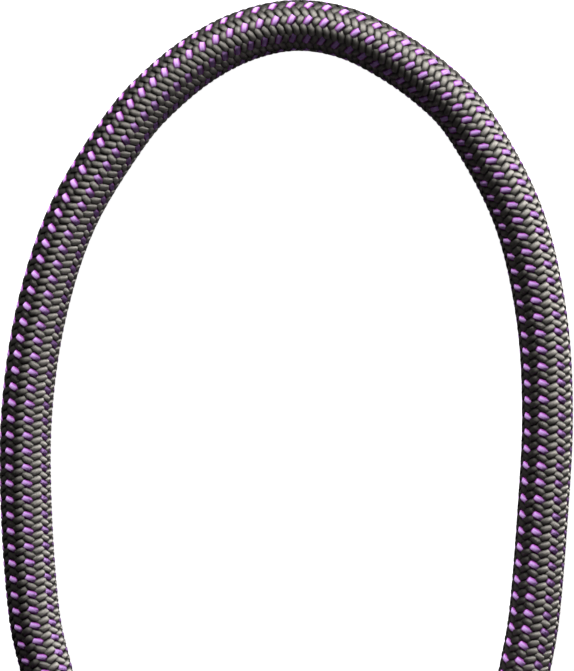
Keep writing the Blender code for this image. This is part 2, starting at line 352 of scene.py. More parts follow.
def placed(name, data):
    thing = bpy.data.objects.new(name, data)
    bpy.context.scene.collection.objects.link(thing)
    return thing


# Node trees that grow the yarns, the tubes, the pillows and the stitches.
def newTree(name, counts, measures):
    tree = bpy.data.node_groups.new(name, "GeometryNodeTree")
    sockets = [("Geometry", "Geometry"), *((label, "Int") for label in counts),
               *((label, "Float") for label in measures), ("Material", "Material")]
    for label, kind in sockets:
        tree.interface.new_socket(label, in_out="INPUT", socket_type="NodeSocket" + kind)
    tree.interface.new_socket("Geometry", in_out="OUTPUT", socket_type="NodeSocketGeometry")
    return tree, tree.nodes.new("NodeGroupInput").outputs, tree.nodes.new("NodeGroupOutput").inputs


def wiring(tree):
    def add(kind, *values, out=0, **settings):
        node = tree.nodes.new(kind)
        for key, value in settings.items():
            setattr(node, key, value)
        sockets = [socket for socket in node.inputs if socket.enabled]
        for socket, value in zip(sockets, values):
            if isinstance(value, bpy.types.NodeSocket):
                tree.links.new(value, socket)
            elif value is not None:
                socket.default_value = value
        return [socket for socket in node.outputs if socket.enabled][out]

    def num(operation, *values):
        return add("ShaderNodeMath", *values, operation=operation)

    def vec(operation, *values):
        return add("ShaderNodeVectorMath", *values, operation=operation)

    def times(first, *others):
        for other in others:
            first = num("MULTIPLY", first, other)
        return first

    return add, num, vec, times


def scaled(add, vector, factor):
    node = add("ShaderNodeVectorMath", vector, operation="SCALE").node
    node.id_data.links.new(factor, node.inputs["Scale"])
    return node.outputs[0]


def stored(add, mesh, label, value, kind="FLOAT", domain="POINT"):
    return add("GeometryNodeStoreNamedAttribute", mesh, True, label, value, data_type=kind,
               domain=domain)


def outwardAt(add, num, vec, at, angle):
    return vec("ADD", scaled(add, at["up"], num("COSINE", angle)),
               scaled(add, at["inward"], num("SINE", angle)))


def spineAt(add, vec, given, step):
    # the spine's columns at one of its steps
    def column(label, kind):
        if label == "position":
            value = add("GeometryNodeInputPosition")
        else:
            value = add("GeometryNodeInputNamedAttribute", label, data_type=kind)
        return add("GeometryNodeSampleIndex", given["Geometry"], value, step, data_type=kind)

    at = {"middle": column("position", "FLOAT_VECTOR"), "along": column("along", "FLOAT_VECTOR"),
          "inward": column("inward", "FLOAT_VECTOR"), "count": column("ring", "FLOAT"),
          "turned": column("turned", "FLOAT")}
    at["up"] = vec("CROSS_PRODUCT", at["inward"], at["along"])
    return at


def alongSpine(tree, given, rings, sides):
    # a tube's ring and side numbers, and the spine's columns at its ring
    add, num, vec, times = wiring(tree)
    perTube = times(rings, sides)
    tube = num("FLOOR", num("DIVIDE", num("ADD", add("GeometryNodeInputIndex"), 0.5), perTube))
    place = num("SUBTRACT", add("GeometryNodeInputIndex"), times(tube, perTube))
    ring = num("FLOOR", num("DIVIDE", num("ADD", place, 0.5), sides))
    side = num("SUBTRACT", place, times(ring, sides))
    return {"tube": tube, "ring": ring, "side": side, **spineAt(add, vec, given, ring)}


def storeUv(add, num, mesh, side, sides, along):
    # U goes round the tube and doesn't jump back at its seam, V goes along it
    middle = add("GeometryNodeFieldOnDomain", side, data_type="FLOAT", domain="FACE")
    corner = add("GeometryNodeFieldOnDomain", side, data_type="FLOAT", domain="POINT")
    behind = num("GREATER_THAN", num("SUBTRACT", middle, corner), 1.0)
    behind = num("MULTIPLY", behind, sides)
    u = num("DIVIDE", num("ADD", corner, behind), sides)
    pair = add("ShaderNodeCombineXYZ", u, along, 0.0)
    return stored(add, mesh, "UVMap", pair, "FLOAT2", "CORNER")


def finishTree(tree, add, result, mesh, material):
    mesh = add("GeometryNodeSetShadeSmooth", mesh)
    mesh = add("GeometryNodeRealizeInstances", mesh)
    mesh = add("GeometryNodeSetMaterial", mesh, None, material)
    tree.links.new(mesh, result["Geometry"])


# Painted shade on the yarns: where their colour is darkened towards the creases between them and where they dip under.
yarnShade = {
    "crown": (0.45, 0.78),  # where a yarn's section goes from painted crease shade to its full colour
    "crest": (0.38, 0.82),  # and where its rise does
    "pillow": (0.45, 1.1),  # a pillow's edge and its top
    "crowding": 0.3,  # of the points of a yarn's section, towards the side that shows
}


def braidTree():
    tree, given, result = newTree(
        "braidedYarns", ["Yarns", "First", "Every", "Carriers", "Sides"],
        ["Way", "Rings A Turn", "Radius", "Wave", "Hold", "Width", "Thickness", "Swell", "Slant",
         "Lean", "Square"])
    add, num, vec, times = wiring(tree)
    rings = add("GeometryNodeAttributeDomainSize", given["Geometry"], component="MESH")
    tube = add("GeometryNodeMeshCylinder", given["Sides"], num("SUBTRACT", rings, 1.0),
               fill_type="NGON")
    starts = add("GeometryNodePoints", given["Yarns"])
    mesh = add("GeometryNodeInstanceOnPoints", starts, None, tube)
    mesh = add("GeometryNodeRealizeInstances", mesh)
    at = alongSpine(tree, given, rings, given["Sides"])
    yarn = num("ADD", given["First"], times(at["tube"], given["Every"]))
    # the yarn's place round the sheath, before the rope's own twist
    place = times(num("DIVIDE", yarn, given["Carriers"]), 2 * math.pi)
    winding = times(num("DIVIDE", at["count"], given["Rings A Turn"]), 2 * math.pi)
    place = num("ADD", place, times(winding, given["Way"]))
    # over two yarns and under two: one family is up where the other is down
    columns = num("DIVIDE", given["Carriers"], 2.0)
    crossing = math.pi / 32  # a quarter of the way from one yarn of a family to the next
    phase = times(num("SUBTRACT", place, crossing), columns)
    upper = times(num("COSINE", phase), given["Way"], -1.0)
    rise = num("DIVIDE", num("TANH", times(upper, given["Hold"])),
               num("TANH", given["Hold"]))
    out = num("ADD", given["Radius"], times(rise, given["Wave"]))
    # where it is up it leans more across the rope, and makes up for that where it is down
    lean = num("DIVIDE", times(given["Lean"], given["Way"]), columns)
    place = num("SUBTRACT", place, times(num("SINE", phase), lean))
    angle = num("ADD", place, at["turned"])
    outward = outwardAt(add, num, vec, at, angle)
    around = outwardAt(add, num, vec, at, num("ADD", angle, math.pi / 2))
    aslant = times(given["Slant"], num("ADD", 1.0, times(upper, given["Lean"])))
    run = vec("ADD", at["along"], scaled(add, around, times(aslant, given["Way"])))
    run = vec("NORMALIZE", run)
    across = vec("CROSS_PRODUCT", outward, run)
    # the yarn's own section, with more of its points on the side that shows
    section = times(num("DIVIDE", at["side"], given["Sides"]), 2 * math.pi)
    section = num("ADD", num("SUBTRACT", section, math.pi / 2),
                  times(num("SINE", section), yarnShade["crowding"]))
    swell = num("ADD", 1.0, times(rise, given["Swell"]))
    wide = times(given["Width"], 0.5, swell)
    thick = times(given["Thickness"], 0.5, swell)
    squared = []
    for part in (num("COSINE", section), num("SINE", section)):
        size = num("POWER", num("ABSOLUTE", part), given["Square"])
        squared.append(times(num("SIGN", part), size))
    offset = vec("ADD", scaled(add, across, times(squared[0], wide)),
                 scaled(add, outward, times(squared[1], thick)))
    centre = vec("ADD", at["middle"], scaled(add, outward, out))
    mesh = add("GeometryNodeSetPosition", mesh, None, vec("ADD", centre, offset))
    # painted shade: the colour darkens the deeper a point lies in the creases between the yarns and the lower its yarn
    # dips
    crown = add("ShaderNodeMapRange", num("SINE", section), *yarnShade["crown"], 0.0, 1.0)
    crest = add("ShaderNodeMapRange", rise, *yarnShade["crest"], 0.0, 1.0)
    mesh = stored(add, mesh, "raised", times(crown, crest))
    # each yarn starts at another place of the streaks' pattern
    lengthAlong = num("ADD", at["count"], times(yarn, 3.7))
    mesh = storeUv(add, num, mesh, at["side"], given["Sides"], lengthAlong)
    finishTree(tree, add, result, mesh, given["Material"])
    return tree


def tubeTree():
    tree, given, result = newTree("ropeTube", ["Sides"], ["Radius"])
    add, num, vec, times = wiring(tree)
    rings = add("GeometryNodeAttributeDomainSize", given["Geometry"], component="MESH")
    mesh = add("GeometryNodeMeshCylinder", given["Sides"], num("SUBTRACT", rings, 1.0),
               fill_type="NGON")
    at = alongSpine(tree, given, rings, given["Sides"])
    angle = times(num("DIVIDE", at["side"], given["Sides"]), 2 * math.pi)
    angle = num("ADD", angle, at["turned"])
    outward = outwardAt(add, num, vec, at, angle)
    centre = vec("ADD", at["middle"], scaled(add, outward, given["Radius"]))
    mesh = add("GeometryNodeSetPosition", mesh, None, centre)
    mesh = storeUv(add, num, mesh, at["side"], given["Sides"], at["count"])
    finishTree(tree, add, result, mesh, given["Material"])
    return tree


def floatTree():
    # the hank's yarns where they show: a small pillow wherever a yarn is up
    tree, given, result = newTree(
        "yarnFloats", ["Rows", "Columns", "First Step", "Steps A Row", "Corners"],
        ["Turn", "Slope", "Radius", "Length", "Width", "Height"])
    add, num, vec, times = wiring(tree)
    pillow = add("GeometryNodeMeshCircle", given["Corners"], 1.0, fill_type="TRIANGLE_FAN")
    pillow = stored(add, pillow, "place", add("GeometryNodeInputPosition"), "FLOAT_VECTOR")
    count = times(given["Rows"], given["Columns"])
    mesh = add("GeometryNodeInstanceOnPoints", add("GeometryNodePoints", count), None, pillow)
    mesh = add("GeometryNodeRealizeInstances", mesh)
    perPillow = num("ADD", given["Corners"], 1.0)
    pillowNumber = num("DIVIDE", num("ADD", add("GeometryNodeInputIndex"), 0.5), perPillow)
    pillowNumber = num("FLOOR", pillowNumber)
    row = num("FLOOR", num("DIVIDE", num("ADD", pillowNumber, 0.5), given["Columns"]))
    column = num("SUBTRACT", pillowNumber, times(row, given["Columns"]))
    step = num("ADD", given["First Step"], times(row, given["Steps A Row"]))
    at = spineAt(add, vec, given, step)
    place = add("GeometryNodeInputNamedAttribute", "place", data_type="FLOAT_VECTOR")
    x, y = (add("ShaderNodeSeparateXYZ", place, out=axis) for axis in (0, 1))
    middle = num("SUBTRACT", 1.0, num("ADD", times(x, x), times(y, y)))
    long = times(x, given["Length"], 0.5)
    wide = times(y, given["Width"], 0.5)
    cosine, sine = num("COSINE", given["Slope"]), num("SINE", given["Slope"])
    around = num("SUBTRACT", times(long, cosine), times(wide, sine))
    ahead = num("ADD", times(long, sine), times(wide, cosine))
    angle = num("DIVIDE", times(column, 2 * math.pi), given["Columns"])
    angle = num("ADD", num("ADD", angle, given["Turn"]), at["turned"])
    angle = num("ADD", angle, num("DIVIDE", around, given["Radius"]))
    outward = outwardAt(add, num, vec, at, angle)
    out = num("ADD", given["Radius"], times(middle, given["Height"]))
    where = vec("ADD", at["middle"], scaled(add, outward, out))
    where = vec("ADD", where, scaled(add, at["along"], ahead))
    mesh = add("GeometryNodeSetPosition", mesh, None, where)
    # painted shade: each pillow's colour darkens towards its sunken edge
    raised = add("ShaderNodeMapRange", middle, 0.0, 1.0, *yarnShade["pillow"])
    mesh = stored(add, mesh, "raised", raised)
    lengthAlong = num("ADD", at["count"], times(x, 0.3))
    pair = add("ShaderNodeCombineXYZ", times(y, 0.25), lengthAlong, 0.0)
    mesh = stored(add, mesh, "UVMap", pair, "FLOAT2", "CORNER")
    finishTree(tree, add, result, mesh, given["Material"])
    return tree


def stitchTree():
    # a row of thread stitches along a line of edges
    tree, given, result = newTree("stitches", [], ["Pitch", "Length", "Thread"])
    add, num, _, times = wiring(tree)
    line = add("GeometryNodeMeshToCurve", given["Geometry"])
    line = add("GeometryNodeResampleCurve", line, mode="LENGTH")
    tree.links.new(given["Pitch"], line.node.inputs["Length"])
    stitch = add("GeometryNodeMeshUVSphere", 8, 6, times(given["Thread"], 0.5))
    stretch = add("ShaderNodeCombineXYZ", 1.0, 1.0, num("DIVIDE", given["Length"], given["Thread"]))
    stitch = add("GeometryNodeTransform", stitch, None, None, stretch)
    facing = add("FunctionNodeAlignRotationToVector", None, None, add("GeometryNodeInputTangent"),
                 axis="Z")
    mesh = add("GeometryNodeInstanceOnPoints", line, None, stitch, None, None, facing)
    finishTree(tree, add, result, mesh, given["Material"])
    return tree


def grown(name, mesh, tree, values):
    # the tree's result as a plain mesh
    source = placed(name + "Spine", mesh)
    modifier = source.modifiers.new("grow", "NODES")
    modifier.node_group = tree
    for item in tree.interface.items_tree:
        if item.item_type == "SOCKET" and item.in_out == "INPUT" and item.name in values:
            modifier[item.identifier] = values[item.name]
    source.update_tag()
    shape = source.evaluated_get(bpy.context.evaluated_depsgraph_get())
    made = bpy.data.meshes.new_from_object(shape)
    bpy.data.objects.remove(source, do_unlink=True)
    made.calc_loop_triangles()
    print(f"{name}: {len(made.loop_triangles)} triangles")
    return placed(name, made)


# Materials.
def newMaterial(name, color, roughness, **constants):
    material = bpy.data.materials.new(name)
    material.use_nodes = True
    shader = material.node_tree.nodes["Principled BSDF"]
    shader.inputs["Base Color"].default_value = (*color, 1)
    shader.inputs["Roughness"].default_value = roughness
    for label, value in constants.items():
        shader.inputs[label.replace("_", " ")].default_value = value
    return material, shader


def rampOf(add, value, *stops):
    # a colour ramp over 0 to 1, from (place, colour) pairs
    ramp = add("ShaderNodeValToRGB", value)
    elements = ramp.node.color_ramp.elements
    while len(elements) < len(stops):
        elements.new(0.5)
    for element, (place, color) in zip(elements, stops):
        element.position, element.color = place, (*color, 1)
    return ramp


yarnLook = {
    "grey": (0.38, 0.361, 0.333),  # on a yarn's crown
    "greyMiddle": (0.214, 0.203, 0.188),  # painted half shade, between its crown and its creases
    "greyPaintedShade": (0.012, 0.011, 0.011),  # painted shade, in its creases
    "greySheen": 0.95,
    "greyGloss": 0.5,
    "purple": (0.76, 0.455, 0.98),
    # the purple's painted half shade and painted crease shade, as for the grey
    "purpleMiddle": (0.40, 0.09, 0.46),
    "purplePaintedShade": (0.05, 0.003, 0.055),
    "purpleSheen": 0.14,
    "purpleGloss": 0.2,
    "middleAt": 0.55,
    "roughness": 0.74,
    "anisotropic": 0.81,
    "streaks": (26.0, 1.2, 1.0),  # filaments round a yarn, and along one ring of it
    "shade": (0.8, 1.15),  # from the darkest streak to the lightest
    "bump": 0.22,
    "bumpDepth": 0.12 * mm,
    "glossTint": (0.4, 0.4, 0.4, 1),
}


def yarnMaterial(name):
    # a yarn's filaments shine across their run, the most where they lie square to the light
    color, middle, paintedShadeColor = (yarnLook[name + part] for part in ("", "Middle", "PaintedShade"))
    material, shader = newMaterial(
        name + "Yarn", color, yarnLook["roughness"], Metallic=yarnLook[name + "Sheen"],
        Specular_IOR_Level=yarnLook[name + "Gloss"], Anisotropic=yarnLook["anisotropic"],
        Specular_Tint=yarnLook["glossTint"])
    tree = material.node_tree
    add, _, vec, _ = wiring(tree)
    uv = add("ShaderNodeUVMap", uv_map="UVMap")
    stretched = vec("MULTIPLY", uv, yarnLook["streaks"])
    streaks = add("ShaderNodeTexNoise", stretched, None, 1.0, 2.0, 0.5)
    bump = add("ShaderNodeBump", yarnLook["bump"], yarnLook["bumpDepth"], None, streaks)
    tree.links.new(bump, shader.inputs["Normal"])
    shade = add("ShaderNodeMapRange", streaks, 0.3, 0.7, *yarnLook["shade"])
    # painted shade: the colour goes from the painted crease shade through the painted half shade to the full colour,
    # by the painted shade mask; the streaks' random tone scales it
    raised = add("ShaderNodeAttribute", attribute_name="raised", out=2)
    colorWithPaintedShade = rampOf(add, raised, (0, paintedShadeColor), (yarnLook["middleAt"], middle), (1, color))
    tree.links.new(scaled(add, colorWithPaintedShade, shade), shader.inputs["Base Color"])
    tangent = add("ShaderNodeTangent", direction_type="UV_MAP", uv_map="UVMap")
    tree.links.new(tangent, shader.inputs["Tangent"])
    return material


greyYarn, purpleYarn = yarnMaterial("grey"), yarnMaterial("purple")

finishes = {
    # painted shadow: the near-black tube under the yarns, seen in their gaps
    "underBraidShadow": {"dark": (0.006, 0.005, 0.006), "light": (0.02, 0.018, 0.02),
                   "roughness": 0.9, "scale": 900, "bumpDepth": 0.1 * mm},
    "stitchThread": {"dark": (0.10, 0.10, 0.11), "light": (0.2, 0.2, 0.22),
                     "roughness": 0.55, "scale": 3000, "bumpDepth": 0.03 * mm},
    "shrinkFilm": {"dark": (0.012, 0.012, 0.013), "light": (0.03, 0.03, 0.032), "gloss": 0.12,
                   "roughness": 0.48, "scale": 260, "bumpDepth": 0.12 * mm},
    "meltedNylon": {"dark": (0.012, 0.009, 0.011), "light": (0.05, 0.036, 0.044), "gloss": 0.3,
                    "roughness": 0.36, "scale": 500, "bumpDepth": 0.2 * mm},
    "coreNylon": {"dark": (0.62, 0.6, 0.55), "light": (0.86, 0.85, 0.81), "stretch": (1, 0.2, 1),
                  "roughness": 0.6, "scale": 1400, "bumpDepth": 0.1 * mm},
}


def patterned(name):
    # a colour that changes a little from place to place, with a bump of the same grain
    look = finishes[name]
    roughness, scale = look["roughness"], look["scale"]
    material, shader = newMaterial(name, look["light"], roughness,
                                   Specular_IOR_Level=look.get("gloss", 0.5))
    tree = material.node_tree
    add, num, vec, times = wiring(tree)
    place = add("ShaderNodeTexCoord", out=3)
    stretched = vec("MULTIPLY", place, look.get("stretch", (1, 1, 1)))
    grain = add("ShaderNodeTexNoise", stretched, None, scale, 4.0, 0.6)
    blotch = add("ShaderNodeTexNoise", place, None, scale * 0.12, 2.0, 0.5)
    mixed = num("ADD", times(grain, 0.6), times(blotch, 0.4))
    mixed = add("ShaderNodeMapRange", mixed, 0.35, 0.65, 0.0, 1.0)
    ramp = rampOf(add, mixed, (0, look["dark"]), (1, look["light"]))
    tree.links.new(ramp, shader.inputs["Base Color"])
    tree.links.new(add("ShaderNodeMapRange", grain, 0.3, 0.7, roughness - 0.06, roughness + 0.06),
                   shader.inputs["Roughness"])
    bump = add("ShaderNodeBump", 0.5, look["bumpDepth"], None, grain)
    tree.links.new(bump, shader.inputs["Normal"])
    return material


webbingLook = {
    "tone": (0.03, 0.03, 0.033),
    "dark": (0.006, 0.006, 0.007),
    "light": (0.07, 0.07, 0.078),
    "roughness": 0.75,
    "gloss": 0.08,
    "under": 0.4,  # the share by which a warp thread goes up and down
    "stagger": 0.25,  # from one thread's floats to its neighbour's
    "fibres": (9.0, 1.5, 1.0),
    "fuzz": 0.25,
    "bump": 0.8,
    "bumpDepth": 0.25 * mm,
}


def strapMaterial():
    # woven nylon: U counts warp threads across the strap, V repeats of four picks along it
    material, shader = newMaterial("strapWebbing", webbingLook["tone"], webbingLook["roughness"],
                                   Specular_IOR_Level=webbingLook["gloss"])
    tree = material.node_tree
    add, num, vec, times = wiring(tree)
    uv = add("ShaderNodeUVMap", uv_map="UVMap")
    u, v = (add("ShaderNodeSeparateXYZ", uv, out=axis) for axis in (0, 1))
    # each warp thread goes over two picks and under two, one step on from its neighbour
    shifted = num("ADD", v, times(num("FLOOR", u), webbingLook["stagger"]))
    warp = num("ABSOLUTE", num("SINE", times(u, math.pi)))
    pick = times(num("SINE", times(shifted, 2 * math.pi)), webbingLook["under"])
    lifted = times(warp, num("ADD", 1 - webbingLook["under"], pick))
    stretched = vec("MULTIPLY", uv, webbingLook["fibres"])
    fibre = add("ShaderNodeTexNoise", stretched, None, 1.0, 3.0, 0.6)
    height = num("ADD", lifted, times(fibre, webbingLook["fuzz"]))
    # painted shade: the weave's low places, where threads go under or meet, are coloured darker; the fibre noise adds
    # a random tone
    risen = add("ShaderNodeMapRange", height, 0.1, 1.15, 0.0, 1.0)
    ramp = rampOf(add, risen, (0, webbingLook["dark"]), (1, webbingLook["light"]))
    tree.links.new(ramp, shader.inputs["Base Color"])
    bump = add("ShaderNodeBump", webbingLook["bump"], webbingLook["bumpDepth"], None, height)
    tree.links.new(bump, shader.inputs["Normal"])
    return material


strapWebbing = strapMaterial()
finish = {name: patterned(name) for name in finishes}
print("materials: two yarns, strap and", ", ".join(finishes))

# The free stretch: every yarn of the sheath, over a near-black tube that is painted shadow in the gaps between them.
yarns = {
    "carriers": 16,  # yarns of one family
    "perRing": 9,  # sections of a yarn in one ring of flecks
    "radius": 4.18 * mm,  # from the rope's middle to a yarn's, halfway between up and down
    "wave": 0.54 * mm,
    "hold": 1.1,  # how flat a yarn stays on top before it dives
    "leanLeft": 0.8,  # how much more it lies across the rope where it is up
    "leanRight": 1.15,
    "square": 0.85,  # 1 is an oval section, less is squarer
    "width": 1.56 * mm,
    "thickness": 0.86 * mm,
    "swell": 0.1,  # wider where it is up
    "sides": 7,
    "tube": 4.1 * mm,  # the tube under the yarns, near-black as painted shadow in their gaps
    "tubeSides": 20,
}
freeSpine, freePoints = spineMesh("freeSpine", freeLine, freeRings, freeTurned, yarns["perRing"])
braid, tube = braidTree(), tubeTree()
common = {label.title(): yarns[label] for label in
          ("carriers", "sides", "radius", "wave", "hold", "width", "thickness", "swell", "square")}
common["Rings A Turn"] = braidLay["ringsATurn"]
common["Slant"] = 2 * math.pi * yarns["radius"] / braidLay["ringsATurn"] / braidLay["ringLength"]
sheathYarns = []
for name, first, way, material in [
        ("purpleYarnsOne", 0, -1.0, purpleYarn), ("purpleYarnsTwo", 2, -1.0, purpleYarn),
        ("greyLeftYarnsOne", 1, -1.0, greyYarn), ("greyLeftYarnsTwo", 3, -1.0, greyYarn),
        ("greyRightYarnsOne", 0, 1.0, greyYarn), ("greyRightYarnsTwo", 1, 1.0, greyYarn),
        ("greyRightYarnsThree", 2, 1.0, greyYarn), ("greyRightYarnsFour", 3, 1.0, greyYarn)]:
    values = {**common, "First": first, "Every": 4, "Yarns": 4, "Way": way,
              "Lean": yarns["leanRight"] if way > 0 else yarns["leanLeft"], "Material": material}
    sheathYarns.append(grown(name, freeSpine.copy(), braid, values))
freeStretch = grown("freeStretch", freeSpine.copy(), tube,
                    {"Sides": yarns["tubeSides"], "Radius": yarns["tube"],
                     "Material": finish["underBraidShadow"]})

# The hank: pillows over a near-black tube, painted shadow between them, in the same pattern.
hankYarns = {
    "perRing": 8,  # steps of the braid in one ring
    "columns": 8,  # pillows of one kind round the rope
    "corners": 6,
    "radius": 4.5 * mm,  # where the pillows' edges sink in
    "core": 4.58 * mm,  # the tube under them, near-black as painted shadow
    "height": 0.5 * mm,
    "length": 2.9 * mm,
    "width": 1.8 * mm,
    "slope": math.radians(27),
    "tubeSides": 16,
}
hankSpine, hankPoints = spineMesh("hankSpine", hankLine, hankRings, hankTurned, 1)
hankRope = grown("hankRope", hankSpine, tube,
                 {"Sides": hankYarns["tubeSides"], "Radius": hankYarns["core"],
                  "Material": finish["underBraidShadow"]})
perRing = hankYarns["perRing"]
common = {label.title(): hankYarns[label] for label in
          ("columns", "corners", "radius", "length", "width", "height")}
floatSpine, floatPoints = spineMesh("floatSpine", hankLine, hankRings, hankTurned, perRing)
floats = floatTree()
hankFloats = []
firstStep = math.ceil(hankRings[0] * perRing)
for name, step, column, way, material in [
        ("hankPurpleFloats", -1, 0.125, -1, purpleYarn),
        ("hankGreyLeftFloats", 3, 0.125, -1, greyYarn),
        ("hankGreyRightFloatsOne", 1, 0.625, 1, greyYarn),
        ("hankGreyRightFloatsTwo", 5, 0.625, 1, greyYarn)]:
    first = (step - firstStep) % perRing + perRing
    values = {**common, "Rows": (len(floatPoints) - perRing - first) // perRing,
              "First Step": first, "Steps A Row": perRing, "Turn": column * math.pi / 4,
              "Slope": way * hankYarns["slope"], "Material": material}
    hankFloats.append(grown(name, floatSpine.copy(), floats, values))


def meshPiece(name, points, faces, material, corners=None):
    mesh = bpy.data.meshes.new(name)
    mesh.from_pydata([tuple(point) for point in points], [], faces)
    mesh.materials.append(material)
    if corners is not None:
        layer = mesh.uv_layers.new(name="UVMap")
        layer.data.foreach_set("uv", np.array(corners, dtype=np.float32).ravel())
    mesh.shade_smooth()
    print(f"{name}: {len(faces)} faces")
    return placed(name, mesh)


def ringFaces(rows, sides, closedRows=False):
    faces = []
    for row in range(rows if closedRows else rows - 1):
        for side in range(sides):
            here, after = row * sides, (row + 1) % rows * sides
            faces.append((here + side, here + (side + 1) % sides,
                          after + (side + 1) % sides, after + side))
    return faces


# The strap that ties the hank.
strap = {
    "width": 25 * mm,
    "thickness": 1.1 * mm,
    "band": 1.2 * mm,  # the room for one layer
    "corner": 8 * mm,
    "soften": 3,  # steps on either side
    "acrossSteps": 26,
    "lapUnder": 31 * mm,  # the lower end, along X
    "lapOver": -13.6 * mm,  # the upper end
    "lapRise": 3 * mm,
    "step": 0.5 * mm,
    "hem": 14 * mm,  # folded back and sewn down at the upper end
    "hemPast": 1.2 * mm,  # the fold's end slopes down past the hem's last stitches
    "hemSlope": 0.9 * mm,
    "hemRise": 0.7 * mm,
    "warpThreads": 26,
    "pick": 0.9 * mm,
    "roundEnd": 0.6 * mm,
    "sag": 0.35 * mm,
    "waver": 0.25 * mm,
    "waverRates": (0.21, 0.083),  # radians a millimetre
    "endThin": 0.3,  # how thin the very end is
    "foldSteps": 12,
    "stitchPitch": 2.5 * mm,
    "stitchLength": 1.9 * mm,
    "thread": 0.45 * mm,
    "threadSunk": 0.1 * mm,
    "seamEnd": 2 * mm,  # from the strap's end to its first row of stitches
    "seamSide": 2.2 * mm,  # and from its edges
    "seamSteps": 24,
}


def strapPath():
    # from the lower end on top of the hank, anticlockwise seen along +Y, to the upper end
    point = 2 * rope["run"] / 12
    drawn = rope["waistDepth"] * (1 - (1 - waistAt(point)) * strap["width"] / 2 / point)
    clear = radius + 2 * rope["gap"]
    left, right = -(halfWidth(0) - drawn + clear), halfWidth(1) - drawn + clear
    top = radius + (rope["layers"] - 1) * rope["layerStep"] + rope["waistLift"] + clear
    low, corner = strap["band"], strap["corner"] - strap["band"]
    half = strap["band"] / 2
    shares = [part / strap["foldSteps"] for part in range(strap["foldSteps"] + 1)]
    path = [(strap["lapUnder"], top + half)]
    for x, z, quarter in [(left + corner, top - corner, 1), (left + corner, low + corner, 2),
                          (right - corner, low + corner, 3), (right - corner, top - corner, 4)]:
        for share in shares:
            angle = (quarter + share) * math.pi / 2
            path.append((x + (corner + half) * math.cos(angle),
                         z + (corner + half) * math.sin(angle)))
    rise = strap["lapUnder"] + strap["lapRise"]
    for share in shares:
        path.append((rise - share * strap["lapRise"],
                     top + half + strap["band"] * smoothStep(share)))
    path.append((strap["lapOver"], top + half + strap["band"]))
    return np.array([(x, 0, z) for x, z in path])


def strapOutline():
    # the strap's section: flat faces and rounded selvedges, as (across, out) pairs
    out = strap["thickness"] / 2
    flat, steps = strap["width"] / 2 - out, strap["acrossSteps"]
    points = []
    for side in (1, -1):
        for part in range(steps + 1):
            points.append((side * flat * (1 - 2 * part / steps), side * out))
        for part in range(1, 4):
            angle = math.pi / 2 + part * math.pi / 4
            points.append((side * (out * math.cos(angle) - flat), side * out * math.sin(angle)))
    return np.array(points)


def hemRise(fromEnd):
    # how much the folded hem lifts the strap's outer face
    past = strap["hem"] + strap["hemPast"] - fromEnd
    return strap["hemRise"] * smoothStep(past / strap["hemSlope"])


def makeStrap():
    path = strapPath()
    count = round(reachOf(path)[-1] / strap["step"])
    line = atDistances(path, np.linspace(0, reachOf(path)[-1], count + 1))
    line = np.array([blurred(line[:, axis], strap["soften"]) for axis in range(3)]).T
    along = np.gradient(line, axis=0)
    along /= np.linalg.norm(along, axis=1)[:, None]
    outward = np.cross(along, (0, -1, 0))
    outline = strapOutline()
    sides = len(outline)
    reach = reachOf(line)
    # the strap lies a little lower between the runs that it presses on, and its edges waver
    onRuns = 0.5 - 0.5 * np.cos(2 * math.pi * line[:, 0] / rope["step"])
    sag = strap["sag"] * onRuns * np.abs(outward[:, 2])
    fast, slow = strap["waverRates"]
    waver = strap["waver"] * np.sin(reach / mm * fast) * np.sin(reach / mm * slow + 1)
    points = []
    for row in range(len(line)):
        near = min(reach[row], reach[-1] - reach[row], strap["roundEnd"]) / strap["roundEnd"]
        full = strap["endThin"] + (1 - strap["endThin"]) * math.sqrt(1 - (1 - near) ** 2)
        rise = hemRise(reach[-1] - reach[row])
        for width, height in outline:
            out = height * full - sag[row] * (1 - (2 * width / strap["width"]) ** 2)
            out += rise * (height / strap["thickness"] + 0.5)
            points.append(line[row] + (0, width + waver[row], 0) + outward[row] * out)
    faces = ringFaces(len(line), sides)
    # the weave's U and V, as strapMaterial reads them
    around = np.linalg.norm(np.diff(outline, axis=0, append=outline[:1]), axis=1)
    u = np.append(0, np.cumsum(around)) * strap["warpThreads"] / strap["width"]
    v = reach / strap["pick"] / 4
    corners = []
    for row in range(len(line) - 1):
        for side in range(sides):
            corners += [(u[side], v[row]), (u[side + 1], v[row]), (u[side + 1], v[row + 1]),
                        (u[side], v[row + 1])]
    last = (len(line) - 1) * sides
    for end in (tuple(range(sides))[::-1], tuple(range(last, last + sides))):
        faces.append(end)
        corners += [(0, 0)] * sides
    return meshPiece("hankStrap", points, faces, strapWebbing, corners), line, outward


hankStrap, strapLine, strapOut = makeStrap()
stitches = stitchTree()


def strapSeam(name, pairs):
    # rows of stitches on the strap's outer face, as (distance from the upper end, across) points
    reach = reachOf(strapLine)
    rise = np.array([hemRise(reach[-1] - distance) for distance in reach])
    surface = strapLine + strapOut * (strap["thickness"] / 2 + rise - strap["threadSunk"])[:, None]
    points, edges = [], []
    for (fromA, acrossA), (fromB, acrossB) in pairs:
        for part in range(strap["seamSteps"] + 1):
            share = part / strap["seamSteps"]
            place = atDistances(surface, np.array([reach[-1] - fromA + share * (fromA - fromB)]))[0]
            place[1] += acrossA + share * (acrossB - acrossA)
            points.append(tuple(place))
            if part:
                edges.append((len(points) - 2, len(points) - 1))
    mesh = bpy.data.meshes.new(name)
    mesh.from_pydata(points, edges, [])
    return grown(name, mesh, stitches,
                 {"Pitch": strap["stitchPitch"], "Length": strap["stitchLength"],
                  "Thread": strap["thread"], "Material": finish["stitchThread"]})


